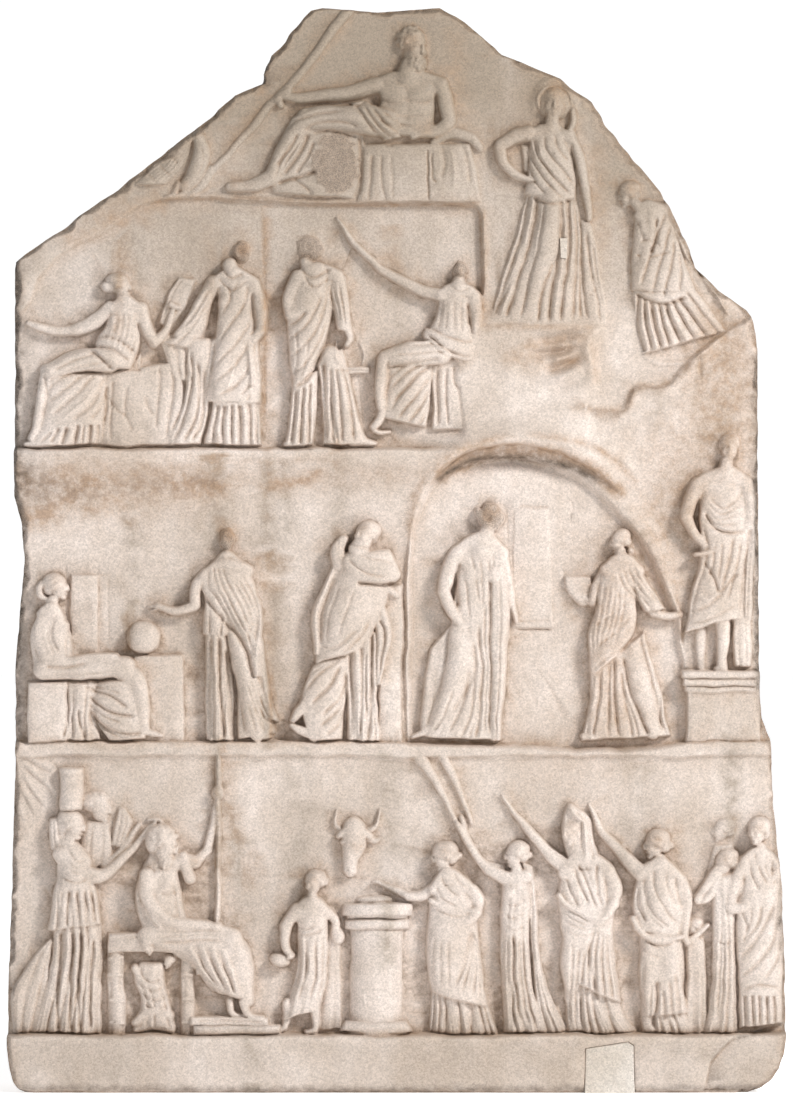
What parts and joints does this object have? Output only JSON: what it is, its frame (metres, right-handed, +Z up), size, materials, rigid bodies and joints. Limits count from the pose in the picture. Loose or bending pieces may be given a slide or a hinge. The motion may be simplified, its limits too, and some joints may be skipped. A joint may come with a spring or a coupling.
{
  "type": "carved stone stele",
  "caption": "Marble votive relief slab with a broken mountain-shaped top, its front carved in tiers of small draped figures with a cave and an altar.",
  "frame": {"origin": "under the middle of the foot, at the middle of the slab's box", "axes": "+Z up the slab, +Y towards the plain back, so the carved front faces -Y, +X to the viewer's right"},
  "size_m": [0.826, 0.17, 1.15],
  "materials": {
    "marble": "weathered, warm off-white, matt",
    "repair_stone": "pale grey fill, matt"
  },
  "bodies": {
    "root": {"carved_slab": "marble", "foot_repair_block": "repair_stone", "skirt_repair_plug": "repair_stone"}
  },
  "joints": []
}
